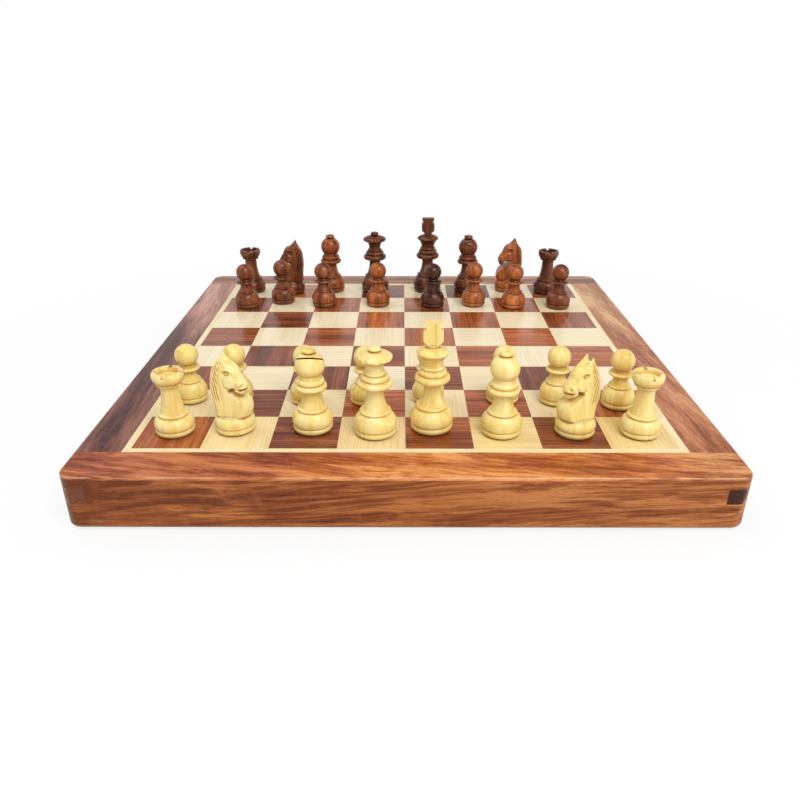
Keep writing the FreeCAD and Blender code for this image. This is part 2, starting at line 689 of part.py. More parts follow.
# Queen's coronet: level of the cuts' floor and their circle, as shares of height and foot radius
CORONET_FLOOR_SHARE = 0.84
CORONET_CIRCLE_SHARE = 0.985

# Bishop's slanting cut: level at the axis and rise over the foot's radius, as shares of the height
MITRE_CUT_SHARE = 0.828
MITRE_RISE_SHARE = 0.14
MITRE_DEPTH_SHARE = 0.15

# Rook's battlements: floor of the notches as a share of the height
NOTCH_FLOOR_SHARE = 0.958

# Knight's head as it is sawn, seen from the side, from the neck's foot up over chest, muzzle and ear and
# down the mane: region, then shares of the foot's radius and of the height
HEAD_SHARES = [
    ("foot", 0.92, 0.236), ("neck", 0.76, 0.415, 0.95, 0.325), ("neck", 0.04, 0.54),
    ("neck", 0.06, 0.582, -0.03, 0.562), ("muzzle", 0.52, 0.505, 0.32, 0.56),
    ("muzzle", 0.77, 0.538, 0.69, 0.499), ("muzzle", 0.82, 0.65, 0.87, 0.594),
    ("muzzle", 0.53, 0.765, 0.67, 0.71), ("brow", 0.17, 0.887, 0.39, 0.837), ("ear", -0.14, 0.914),
    ("ear", -0.43, 1.0), ("ear", -0.53, 0.921), ("neck", -0.97, 0.698, -0.83, 0.832),
    ("neck", -0.96, 0.444, -1.01, 0.569), ("foot", -0.92, 0.236, -0.93, 0.34),
]
# Sections of the head from cheek to cheek: place as a share of its half width, and the share of its
# size that each region has there about its own middle
HEAD_REACH_SHARES = (-1, -0.7, 0, 0.7, 1)
REGION_SHARES = {
    "foot": (0.6, 0.86, 1, 0.86, 0.6),
    "neck": (0.82, 0.955, 1, 0.955, 0.82),
    "muzzle": (0.52, 0.8, 1, 0.8, 0.52),
    "brow": (0.74, 0.92, 1, 0.92, 0.74),
    "ear": (0.7, 1, 0.5, 1, 0.7),
}
REGION_MIDDLE_SHARES = {"foot": (0, 0.236), "neck": (-0.06, 0.57), "muzzle": (0.2, 0.68),
                        "brow": (-0.1, 0.7), "ear": (-0.4, 0.88)}
HEAD_WIDTH_SHARE = 0.74
HEAD_TAPER_SHARE = 0.1
MOUTH_LEVEL_SHARE = 0.565
MOUTH_DEPTH_SHARE = 0.55


def radius_of(kind, share):
    return f"({share} * dims.{kind}_foot_diameter / 2)"


def level_of(kind, share):
    return f"({share} * dims.{kind}_height)"


def turned(kind):
    """Revolved man, hollow underneath for its magnet and standing on its felt."""
    body = new_body(f"{kind}_turning")
    seat_radius = "(dims.foot_magnet_diameter / 2 + dims.magnet_clearance)"
    seat_top = "(dims.felt_thickness + dims.foot_magnet_thickness + dims.magnet_clearance)"
    path = [("0", seat_top), (seat_radius, seat_top), (seat_radius, use("felt_thickness")),
            (radius_of(kind, FOOT_EDGE_SHARE), use("felt_thickness"))]
    for step in OUTLINE_SHARES[kind]:
        point = (radius_of(kind, step[0]), level_of(kind, step[1]))
        if len(step) == 4:
            point += (radius_of(kind, step[2]), level_of(kind, step[3]))
        elif len(step) == 3:
            point += step[2:]
        path.append(point)
    revolution = body.newObject("PartDesign::Revolution", "turning")
    revolution.Profile = loops_sketch(body, [path], "XZ_Plane")
    revolution.ReferenceAxis = (next(f for f in body.Origin.OriginFeatures if f.Role == "Z_Axis"), [""])
    revolution.Angle = 360
    return body


def king():
    body = turned("king")
    foot = level_of("king", CROSS_FOOT_SHARE)
    rise = f"(dims.king_height - {foot})"
    right = [(f"({x} * dims.king_cross_width / 2)", f"({foot} + {z} * {rise})") for x, z in CROSS_SHARES]
    left = [(f"(-{x})", z) for x, z in reversed(right)]
    pad(body, loops_sketch(body, [right + left], "XZ_Plane"), use("king_cross_thickness"), symmetric=True)
    return [body]


def queen():
    body = turned("queen")
    doc.recompute()
    scallop = new_sketch(body, level=level_of("queen", 1))
    add_circle(scallop, radius_of("queen", CORONET_CIRCLE_SHARE), "0", use("coronet_cut_diameter"))
    bite = pocket(body, scallop, level_of("queen", 1 - CORONET_FLOOR_SHARE))
    polar_copies(body, bite, CORONET_CUTS)
    return [body]


def bishop():
    """The slanting cut opens towards -Y."""
    body = turned("bishop")
    reach = use("bishop_foot_diameter")
    low = level_of("bishop", MITRE_CUT_SHARE)
    high = f"({low} + 2 * {level_of('bishop', MITRE_RISE_SHARE)})"
    inner = radius_of("bishop", MITRE_DEPTH_SHARE)
    kerf = [(inner, low), (f"-{reach}", high), (f"-{reach}", f"({high} + dims.mitre_cut_width)"),
            (inner, f"({low} + dims.mitre_cut_width)")]
    pocket(body, loops_sketch(body, [kerf], "YZ_Plane"), f"2 * {reach}", symmetric=True)
    return [body]


def rook():
    body = turned("rook")
    doc.recompute()
    floor = level_of("rook", NOTCH_FLOOR_SHARE)
    half = "(dims.rook_notch_width / 2)"
    gap = loops_sketch(body, [rectangle("0", use("rook_foot_diameter"), f"-{half}", half)],
                       level="(dims.rook_height + dims.cut_overrun)")
    notch = pocket(body, gap, f"dims.rook_height + dims.cut_overrun - {floor}")
    polar_copies(body, notch, ROOK_NOTCHES)
    return [body]


def head_section(body, index):
    """The head's outline on an upright plane that leans in towards the ears."""
    def held(region, x, z):
        middle_x, middle_z = REGION_MIDDLE_SHARES[region]
        size = REGION_SHARES[region][index]
        return (radius_of("knight", f"({middle_x} + {size} * ({x} - ({middle_x})))"),
                level_of("knight", f"({middle_z} + {size} * ({z} - {middle_z}))"))

    path = []
    for region, *step in HEAD_SHARES:
        end, middle = step[:2], step[2:]
        path.append(held(region, *end) + (held(region, *middle) if middle else ()))
    reach = HEAD_REACH_SHARES[index]
    sketch = loops_sketch(body, [path], "XZ_Plane", f"({-reach} * {radius_of('knight', HEAD_WIDTH_SHARE)})")
    lean = math.degrees(math.atan(reach * HEAD_TAPER_SHARE))
    sketch.AttachmentOffset.Rotation = FreeCAD.Rotation(FreeCAD.Vector(1, 0, 0), lean)
    return sketch


def knight():
    """Turned foot and carved head; the horse looks along +X."""
    head = new_body("knight_head")
    sections = [head_section(head, index) for index in range(len(HEAD_REACH_SHARES))]
    loft = head.newObject("PartDesign::AdditiveLoft", "head")
    loft.Profile = sections[0]
    loft.Sections = [(section, [""]) for section in sections[1:]]
    doc.recompute()
    reach = use("knight_foot_diameter")
    mouth = level_of("knight", MOUTH_LEVEL_SHARE)
    lips = rectangle(radius_of("knight", MOUTH_DEPTH_SHARE), reach, mouth,
                     f"({mouth} + dims.knight_mouth_width)")
    pocket(head, loops_sketch(head, [lips], "XZ_Plane"), f"2 * {reach}", symmetric=True)
    return [turned("knight"), head]


def pawn():
    return [turned("pawn")]


def foot_pieces(kind):
    """Magnet in the foot and felt disc under it."""
    felt = rod(f"{kind}_felt", f"(2 * {radius_of(kind, FOOT_EDGE_SHARE)} - 2 * dims.felt_inset)",
               use("felt_thickness"), 0, 0, 0)
    magnet = rod(f"{kind}_magnet", use("foot_magnet_diameter"), use("foot_magnet_thickness"),
                 0, 0, use("felt_thickness"))
    return [felt, magnet]


BACK_ROW = ["rook", "knight", "bishop", "queen", "king", "bishop", "knight", "rook"]
FILE_NAMES = "abcdefgh"

# How far each man stands from the middle of its square, right and away, as shares of a square
LIGHT_OFFICER_SHARES = [(0.01, 0.02), (-0.09, 0.1), (0.09, 0.12), (0.05, 0.0),
                        (-0.1, 0.15), (-0.05, 0.01), (0.06, 0.0), (0.04, -0.02)]
LIGHT_PAWN_SHARES = [(-0.03, 0.13), (-0.27, 0.13), (-0.12, 0.09), (-0.14, 0.06),
                     (-0.12, 0.13), (0.1, 0.09), (-0.03, 0.07), (-0.05, -0.08)]
DARK_PAWN_SHARES = [(-0.02, -0.14), (-0.26, 0.2), (-0.31, -0.04), (-0.09, 0.0),
                    (0.13, -0.08), (0.06, 0.02), (-0.06, -0.14), (-0.06, -0.14)]
DARK_OFFICER_SHARES = [(-0.11, 0.04), (-0.16, -0.06), (-0.23, 0.1), (-0.19, 0.05),
                       (0.05, 0.1), (-0.01, 0.05), (-0.03, 0.14), (-0.14, -0.05)]
ROWS = [("light", "front", "officers", LIGHT_OFFICER_SHARES), ("light", "front", "pawns", LIGHT_PAWN_SHARES),
        ("dark", "rear", "pawns", DARK_PAWN_SHARES), ("dark", "rear", "officers", DARK_OFFICER_SHARES)]

# How far a man is turned from the way it is modelled
TURN_DEGREES = {"light_knight_b": -12, "light_knight_g": 202, "dark_knight_b": 180, "dark_knight_g": 180,
                "light_bishop_f": 180, "dark_bishop_c": 180, "dark_bishop_f": -90}


def chessmen():
    makers = {"king": king, "queen": queen, "bishop": bishop, "knight": knight, "rook": rook, "pawn": pawn}
    masters = {kind: make() + foot_pieces(kind) for kind, make in makers.items()}
    for tone, side, line, offsets in ROWS:
        ranks_out = SIDES[side] * (RANKS_PER_HALF - (1.5 if line == "pawns" else 0.5))
        for file, (right, away) in enumerate(offsets):
            kind = "pawn" if line == "pawns" else BACK_ROW[file]
            name = f"{tone}_{kind}" if kind in ("king", "queen") else f"{tone}_{kind}_{FILE_NAMES[file]}"
            x = f"({file - FILES / 2 + 0.5 + right:.3f} * dims.square_size)"
            y = f"({ranks_out + away:.3f} * dims.square_size + {SIDES[side]} * dims.seam_gap / 2)"
            man = group(name, masters[kind], TURN_DEGREES.get(name, 0), Base_x=x, Base_y=y, Base_z=BOARD_TOP)
            node(man, name)


def side_rails(side):
    rails = [side_rail(side, f"{side}_side_rail", hand) for hand in (-1, 1)]
    return node(group(f"{side}_side_rails", rails), f"{side}_side_rails")


def check(things):
    """Stop before anything is written if a piece failed."""
    failed = [t.Label for t in doc.Objects if {"Invalid", "Error"} & set(t.State)]
    failed += [t.Label for t in things if t.Shape.isNull() or not t.Shape.isValid()]
    if failed:
        raise RuntimeError(f"failed: {failed}")


for half in SIDES:
    outer_rail(half)
    side_rails(half)
    spine_rail(half)
    board_bed(half)
    board_top(half)
    storage_insert(half)
    closing_magnets(half)
hinges()
chessmen()
doc.recompute()
check(NODES)
os.makedirs("parts", exist_ok=True)
for piece in NODES:
    piece.Shape.exportStep(f"parts/{piece.Label}.step")
print(len(NODES), "pieces written")
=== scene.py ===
import json
import math

import bmesh
import bpy
import numpy as np
from mathutils import Matrix, Vector


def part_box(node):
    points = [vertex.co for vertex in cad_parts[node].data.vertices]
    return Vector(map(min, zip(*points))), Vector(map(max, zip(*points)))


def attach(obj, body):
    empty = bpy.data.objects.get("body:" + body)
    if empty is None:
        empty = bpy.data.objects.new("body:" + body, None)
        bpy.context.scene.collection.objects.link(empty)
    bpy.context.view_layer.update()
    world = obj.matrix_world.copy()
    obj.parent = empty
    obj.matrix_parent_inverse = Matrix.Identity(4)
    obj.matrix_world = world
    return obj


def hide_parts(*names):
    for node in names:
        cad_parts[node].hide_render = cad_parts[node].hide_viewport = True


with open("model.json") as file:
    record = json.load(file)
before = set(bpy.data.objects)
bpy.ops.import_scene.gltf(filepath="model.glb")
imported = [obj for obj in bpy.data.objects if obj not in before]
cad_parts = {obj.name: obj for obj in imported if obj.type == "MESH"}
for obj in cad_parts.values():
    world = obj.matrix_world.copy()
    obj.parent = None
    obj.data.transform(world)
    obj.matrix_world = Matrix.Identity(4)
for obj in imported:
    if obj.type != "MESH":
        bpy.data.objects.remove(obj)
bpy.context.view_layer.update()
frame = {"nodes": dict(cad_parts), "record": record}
nodes = frame["nodes"]
scene = bpy.context.scene

MM = 0.001
SQUARE = 31.8 * MM
SEAM_HALF = 0.15 * MM
BOARD_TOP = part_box("front_light_squares")[1].z
FIELD_HALF = 4 * SQUARE
STRING_FAR = FIELD_HALF + 3.4 * MM
FELT_TOP = BOARD_TOP + 0.8 * MM
HALVES = ("front", "rear")


# Shader building

def tint(red, green, blue):
    """Linear colour of a display colour written from 0 to 255."""
    def linear(value):
        value /= 255
        return value / 12.92 if value <= 0.04045 else ((value + 0.055) / 1.055) ** 2.4
    return (linear(red), linear(green), linear(blue), 1.0)


class Tree:
    """A node tree, emptied, and short calls that add nodes to it."""

    def __init__(self, tree):
        tree.nodes.clear()
        self.nodes, self.links = tree.nodes, tree.links

    def put(self, socket, value):
        if isinstance(value, bpy.types.NodeSocket):
            self.links.new(value, socket)
        else:
            socket.default_value = value

    def math(self, operation, *values):
        node = self.nodes.new("ShaderNodeMath")
        node.operation = operation
        for socket, value in zip(node.inputs, values):
            self.put(socket, value)
        return node.outputs[0]

    def total(self, *parts):
        """Sum of pairs of a value and its weight."""
        result = None
        for value, weight in parts:
            part = self.math("MULTIPLY", value, weight)
            result = self.math("ADD", result, part) if result else part
        return result

    def vector(self, operation, *values):
        node = self.nodes.new("ShaderNodeVectorMath")
        node.operation = operation
        for socket, value in zip(node.inputs, values):
            self.put(socket, value)
        return node.outputs["Vector"]

    def join(self, x, y, z):
        node = self.nodes.new("ShaderNodeCombineXYZ")
        for socket, value in zip(node.inputs, (x, y, z)):
            self.put(socket, value)
        return node.outputs[0]

    def split(self, vector):
        node = self.nodes.new("ShaderNodeSeparateXYZ")
        self.put(node.inputs[0], vector)
        return node.outputs

    def mix(self, factor, first, second):
        node = self.nodes.new("ShaderNodeMix")
        node.data_type = "RGBA"
        for socket, value in zip((node.inputs[0], node.inputs[6], node.inputs[7]), (factor, first, second)):
            self.put(socket, value)
        return node.outputs[2]

    def tones(self, figure, colours, spread):
        """Dark, middle and light colour of a wood by its figure."""
        node = self.nodes.new("ShaderNodeValToRGB")
        elements = node.color_ramp.elements
        elements.new(0.5)
        for element, place, colour in zip(elements, (0.5 - spread, 0.5, 0.5 + spread), colours):
            element.position, element.color = place, colour
        self.put(node.inputs[0], figure)
        return node.outputs[0]

    def span(self, value, low, high, start=0.0, stop=1.0):
        """Value from low to high brought smoothly to the range from start to stop."""
        node = self.nodes.new("ShaderNodeMapRange")
        node.interpolation_type = "SMOOTHSTEP"
        for socket, item in zip(node.inputs, (value, low, high, start, stop)):
            self.put(socket, item)
        return node.outputs[0]

    def noise(self, vector, stretch, detail=2.0, roughness=0.5, distortion=0.0):
        node = self.nodes.new("ShaderNodeTexNoise")
        self.put(node.inputs["Vector"], self.vector("MULTIPLY", vector, stretch))
        node.inputs["Scale"].default_value = 1.0
        node.inputs["Detail"].default_value = detail
        node.inputs["Roughness"].default_value = roughness
        node.inputs["Distortion"].default_value = distortion
        return node.outputs[0]

    def chance(self, vector):
        """Fixed random number for each whole-numbered vector."""
        node = self.nodes.new("ShaderNodeTexWhiteNoise")
        self.put(node.inputs["Vector"], vector)
        return node.outputs[0]


class Shader(Tree):
    """A material with a principled surface; its places are in millimetres."""

    def __init__(self, name):
        self.material = bpy.data.materials.new(name)
        self.material.use_nodes = True
        super().__init__(self.material.node_tree)
        self.surface = self.nodes.new("ShaderNodeBsdfPrincipled")
        self.out = self.nodes.new("ShaderNodeOutputMaterial")
        self.links.new(self.surface.outputs["BSDF"], self.out.inputs["Surface"])
        self.coordinates = self.nodes.new("ShaderNodeTexCoord")
        self.normal = self.split(self.coordinates.outputs["Normal"])
        self.place = self.vector("MULTIPLY", self.coordinates.outputs["Object"], (1 / MM,) * 3)

    def own(self, name):
        """Number kept on the object itself."""
        node = self.nodes.new("ShaderNodeAttribute")
        node.attribute_type = "OBJECT"
        node.attribute_name = f'["{name}"]'
        return node.outputs["Fac"]

    def shelter(self, reach_mm, inside=False):
        """1 on open surfaces and less in hollows, or on edges where it looks inside."""
        node = self.nodes.new("ShaderNodeAmbientOcclusion")
        node.samples = 6
        node.only_local = True
        node.inside = inside
        node.inputs["Distance"].default_value = reach_mm * MM
        return node.outputs["AO"]

    def arris(self):
        """1 on the rounded edges between upright and level faces."""
        up = self.math("ABSOLUTE", self.normal[2])
        return self.math("MULTIPLY", self.span(up, 0.08, 0.4), self.span(up, 0.98, 0.8))

    def bump(self, height, depth_mm, strength):
        node = self.nodes.new("ShaderNodeBump")
        node.inputs["Strength"].default_value = strength
        node.inputs["Distance"].default_value = depth_mm * MM
        self.put(node.inputs["Height"], height)
        self.links.new(node.outputs[0], self.surface.inputs["Normal"])

    def finish(self, colour, roughness, **plain):
        self.put(self.surface.inputs["Base Color"], colour)
        self.put(self.surface.inputs["Roughness"], roughness)
        for key, value in plain.items():
            self.surface.inputs[key.replace("_", " ")].default_value = value
        return self.material


def wood_figure(s, place, wave=6.0, band=0.085, streak=0.6):
    """Bands, fine streaks and pores of a wood, for coordinates whose first one runs along the grain."""
    sway = s.math("SUBTRACT", s.noise(place, (0.011, 0.045, 0.045), 2.0), 0.5)
    shift = s.math("MULTIPLY", sway, wave)
    bent = s.vector("ADD", place, s.join(0.0, shift, shift))
    bands = s.noise(bent, (0.005, band, band), 3.0, 0.55, 0.4)
    streaks = s.noise(bent, (0.02, streak, streak), 4.0, 0.65)
    pores = s.noise(bent, (0.11, 2.6, 2.6), 2.0, 0.6)
    return bands, streaks, pores


def rosewood(name, along, colours, end_colours, seed, wave=6.0, slope=0.0, shine=0.3, spread=0.085, zones=()):
    """Lacquered rosewood with grain along one axis; zones are (middle, reach, colours, share) along it."""
    s = Shader(name)
    x, y, z = s.split(s.place)
    length, aside = (x, y) if along == "X" else (y, x)
    lean = s.math("MULTIPLY", length, slope)
    grain = s.join(length, s.math("ADD", aside, lean), s.math("SUBTRACT", z, lean))
    grain = s.vector("ADD", grain, (seed * 71.0, seed * 37.0, seed * 53.0))
    bands, streaks, pores = wood_figure(s, grain, wave)
    figure = s.total((bands, 0.55), (streaks, 0.45))
    colour = s.tones(figure, colours, spread)
    drift = s.math("MULTIPLY", s.math("SUBTRACT", s.noise(grain, (0.03, 0.09, 0.09), 3.0), 0.5), 70.0)
    wandering = s.math("ADD", length, drift)
    for middle, reach, zone_colours, share in zones:
        away = s.math("ABSOLUTE", s.math("SUBTRACT", wandering, middle))
        zone_colour = s.tones(figure, zone_colours, spread)
        colour = s.mix(s.span(away, reach, reach * 0.5, 0.0, share), colour, zone_colour)
    curl = s.noise(grain, (0.13, 0.1, 0.1), 3.0, 0.5, 1.2)
    colour = s.mix(s.span(curl, 0.5, 0.72, 0.0, 0.4), colour, s.mix(0.5, colour, colours[2]))
    colour = s.mix(s.span(pores, 0.58, 0.72, 0.0, 0.65), colour, colours[0])
    # partly worn edges and partly painted highlight: the rounded arrises are lightened towards a pale tan in
    # patches
    worn = s.math("MULTIPLY", s.arris(), s.span(s.noise(grain, (0.05, 0.3, 0.3), 3.0), 0.42, 0.62, 0.1, 0.6))
    colour = s.mix(worn, colour, s.mix(0.6, colours[2], tint(240, 196, 140)))
    # painted shade: faces turned downward are darkened towards near black, standing in for the contact shadow
    # along the bottom edge
    colour = s.mix(s.span(s.normal[2], -0.1, -0.6, 0.0, 0.7), colour, s.mix(0.5, colours[0], tint(20, 10, 6)))
    cut = s.span(s.math("ABSOLUTE", s.normal["XYZ".index(along)]), 0.84, 0.93)
    speck = s.noise(grain, (0.5, 1.1, 1.1), 3.0, 0.6)
    left, right = end_colours
    end_colour = s.mix(s.span(x, -1.0, 1.0), left, right)
    colour = s.mix(cut, colour, s.mix(s.span(speck, 0.42, 0.62, 0.0, 0.6), end_colour, colours[0]))
    s.bump(s.total((streaks, 0.5), (pores, -0.5)), 0.12, 0.35)
    rough = s.span(s.math("ADD", streaks, pores), 0.7, 1.3, 0.25, 0.42)
    return s.finish(colour, rough, Specular_IOR_Level=shine, Coat_Weight=shine / 2, Coat_Roughness=0.12)


def square_wood(name, colours, other_colours, seed, spread, streak_share, pore_share, front_share=0.0):
    """Veneer squares: each has its own grain direction, piece of figure and tone between two woods."""
    s = Shader(name)
    x, y, z = s.split(s.place)
    side = SQUARE / MM
    inward = s.math("SUBTRACT", y, s.math("MULTIPLY", s.math("SIGN", y), SEAM_HALF / MM))
    column = s.math("FLOOR", s.math("DIVIDE", x, side))
    row = s.math("FLOOR", s.math("DIVIDE", inward, side))
    tone = s.chance(s.join(column, row, seed))
    tone = s.math("ADD", s.math("MULTIPLY", tone, 1.0 - front_share),
                  s.math("MULTIPLY", s.math("LESS_THAN", row, -3.5), front_share))
    across = s.math("GREATER_THAN", s.chance(s.join(column, row, seed + 3.0)), 0.55)
    plain = s.math("SUBTRACT", 1.0, across)
    offset = s.math("MULTIPLY", s.chance(s.join(column, row, seed + 7.0)), 900.0)
    along = s.math("ADD", s.total((x, plain), (y, across)), offset)
    aside = s.math("ADD", s.total((y, plain), (x, across)), offset)
    bands, streaks, pores = wood_figure(s, s.join(along, aside, z), 5.0, 0.1, 0.75)
    figure = s.total((bands, 1.0 - streak_share), (streaks, streak_share))
    colour = s.mix(tone, s.tones(figure, colours, spread), s.tones(figure, other_colours, spread))
    colour = s.mix(s.span(pores, 0.58, 0.72, 0.0, pore_share), colour, colours[0])
    rub = s.noise(s.place, (0.06, 0.06, 0.06), 3.0)
    s.bump(s.total((streaks, 0.5), (pores, -0.5)), 0.06, 0.25)
    rough = s.span(s.total((streaks, 0.6), (rub, 0.4)), 0.38, 0.62, 0.2, 0.34)
    return s.finish(colour, rough, Specular_IOR_Level=0.4, Coat_Weight=0.2, Coat_Roughness=0.1)


def turned_wood(name, colours, other_colours, painted_shade, edge, spread, pore_share):
    """Chessmen: upright grain, a tone of its own for each man, painted shade in hollows and on undersides,
    and lightened edges that are partly rubbed wear and partly a painted highlight.
    """
    s = Shader(name)
    x, y, z = s.split(s.place)
    grain = s.join(z, x, y)
    bands, streaks, pores = wood_figure(s, grain, 4.0, 0.16, 0.55)
    figure = s.total((bands, 0.6), (streaks, 0.4))
    colour = s.mix(s.own("tone"), s.tones(figure, colours, spread), s.tones(figure, other_colours, spread))
    colour = s.mix(s.span(pores, 0.6, 0.76, 0.0, pore_share), colour, colours[0])
    cut = s.span(s.math("ABSOLUTE", s.normal[2]), 0.75, 0.97, 0.0, 0.22)
    colour = s.mix(cut, colour, colours[0])
    # painted shade: faces turned downward are darkened towards the shade colour
    colour = s.mix(s.span(s.normal[2], -0.1, -0.75, 0.0, 0.45), colour, painted_shade)
    # painted shade: hollows found by local occlusion are darkened towards the shade colour
    colour = s.mix(s.span(s.shelter(2.2), 0.92, 0.45, 0.0, 0.65), colour, painted_shade)
    # partly rubbed wear and partly painted highlight: convex edges are lightened towards the edge colour
    # along the grain bands
    rubbed = s.math("MULTIPLY", s.span(s.shelter(0.7, True), 0.85, 0.5), s.span(bands, 0.4, 0.6, 0.2, 0.6))
    colour = s.mix(rubbed, colour, edge)
    s.bump(s.total((streaks, 0.5), (pores, -0.5)), 0.05, 0.3)
    rough = s.span(s.math("ADD", streaks, pores), 0.7, 1.3, 0.26, 0.4)
    return s.finish(colour, rough, Specular_IOR_Level=0.35, Coat_Weight=0.15, Coat_Roughness=0.15)


def metal(name, colour, worn, roughness, brushed=(2.0, 0.05, 2.0)):
    s = Shader(name)
    lines = s.noise(s.place, brushed, 3.0, 0.6)
    stains = s.noise(s.place, (0.12, 0.12, 0.12), 3.0)
    shade = s.mix(s.span(stains, 0.45, 0.7, 0.0, 0.7), colour, worn)
    shade = s.mix(s.span(lines, 0.4, 0.7, 0.0, 0.25), shade, worn)
    # painted highlight: convex edges are lightened halfway towards near white
    painted_highlight = s.span(s.shelter(0.5, True), 0.85, 0.5, 0.0, 0.5)
    shade = s.mix(painted_highlight, shade, s.mix(0.5, colour, tint(250, 240, 220)))
    s.bump(lines, 0.02, 0.3)
    rough = s.span(s.math("ADD", lines, stains), 0.7, 1.3, roughness - 0.06, roughness + 0.14)
    return s.finish(shade, rough, Metallic=1.0)


def cloth(name, colour, deep, nap_scale, nap_depth):
    """Felt or velvet: short nap with pressed patches and paler rubbed edges."""
    s = Shader(name)
    nap = s.noise(s.place, (nap_scale,) * 3, 4.0, 0.7)
    pressed = s.noise(s.place, (0.09, 0.09, 0.09), 2.0)
    shade = s.mix(s.span(nap, 0.35, 0.65), deep, colour)
    shade = s.mix(s.span(pressed, 0.45, 0.7, 0.0, 0.4), shade, deep)
    rubbed = s.span(s.shelter(1.5, True), 0.9, 0.55, 0.0, 0.35)
    shade = s.mix(rubbed, shade, s.mix(0.4, colour, tint(170, 180, 160)))
    s.bump(s.total((nap, 0.7), (pressed, 0.6)), nap_depth, 0.6)
    return s.finish(shade, s.span(nap, 0.3, 0.7, 0.85, 1.0), Sheen_Weight=0.5, Sheen_Roughness=0.5)


def plywood():
    """Rotary-cut birch face with the glue lines of its plies on the edges."""
    s = Shader("plywood")
    z = s.split(s.place)[2]
    bands, streaks, pores = wood_figure(s, s.place, 14.0, 0.05, 0.4)
    face = s.tones(s.total((bands, 0.7), (streaks, 0.3)),
                   (tint(176, 132, 84), tint(206, 165, 112), tint(226, 192, 142)), 0.13)
    ply = s.math("PINGPONG", z, 0.87)
    upright = s.span(s.math("ABSOLUTE", s.normal[2]), 0.8, 0.4)
    face = s.mix(s.math("MULTIPLY", upright, s.span(ply, 0.5, 0.8, 0.0, 0.7)), face, tint(120, 78, 45))
    face = s.mix(s.span(pores, 0.62, 0.75, 0.0, 0.4), face, tint(130, 88, 52))
    s.bump(streaks, 0.08, 0.3)
    return s.finish(face, s.span(streaks, 0.35, 0.65, 0.55, 0.75))


# Materials of the object

RAIL = (tint(90, 36, 12), tint(138, 70, 29), tint(184, 114, 58))
RAIL_RIGHT = (tint(100, 44, 16), tint(148, 79, 37), tint(192, 124, 70))
RAIL_LEFT = (tint(112, 54, 22), tint(160, 90, 44), tint(204, 132, 72))
SIDE_RAIL = (tint(92, 44, 24), tint(140, 80, 46), tint(182, 120, 74))
RAIL_ENDS = (tint(104, 56, 34), tint(96, 50, 32))
FINGER_ENDS = (tint(122, 72, 46), tint(50, 26, 22))
PINK = (tint(116, 44, 20), tint(162, 82, 46), tint(202, 122, 76))
ORANGE = (tint(152, 70, 24), tint(200, 114, 54), tint(236, 160, 92))
PURPLE = (tint(112, 62, 44), tint(152, 92, 64), tint(184, 122, 88))
TAN = (tint(140, 76, 42), tint(190, 122, 72), tint(228, 168, 110))
REAR_BORDER = (tint(108, 60, 40), tint(150, 92, 62), tint(184, 128, 90))
LEFT_BORDER = (tint(78, 42, 36), tint(116, 70, 58), tint(148, 98, 82))
LEFT_BORDER_REAR = (tint(148, 98, 82), tint(192, 136, 116), tint(220, 172, 150))
RIGHT_BORDER = (tint(138, 74, 42), tint(182, 112, 72), tint(212, 148, 106))
RIGHT_BORDER_REAR = (tint(166, 106, 62), tint(206, 148, 96), tint(236, 188, 136))
DEEP_SQUARE = (tint(74, 32, 18), tint(122, 60, 34), tint(160, 92, 58))
RED_SQUARE = (tint(120, 52, 20), tint(178, 92, 42), tint(212, 130, 78))
PALE_SQUARE = (tint(240, 220, 178), tint(247, 231, 196), tint(251, 239, 212))
YELLOW_SQUARE = (tint(228, 192, 116), tint(242, 212, 142), tint(249, 226, 166))
PALE_STRINGING = (tint(240, 218, 166), tint(247, 231, 188), tint(250, 238, 206))
YELLOW_STRINGING = (tint(234, 206, 150), tint(244, 222, 172), tint(248, 232, 194))
YELLOW_MAN = (tint(222, 182, 90), tint(246, 219, 128), tint(252, 238, 168))
PALE_MAN = (tint(234, 200, 112), tint(249, 229, 150), tint(254, 243, 186))
BROWN_MAN = (tint(38, 18, 14), tint(72, 35, 25), tint(104, 56, 38))
ORANGE_MAN = (tint(108, 46, 16), tint(166, 84, 34), tint(208, 126, 62))
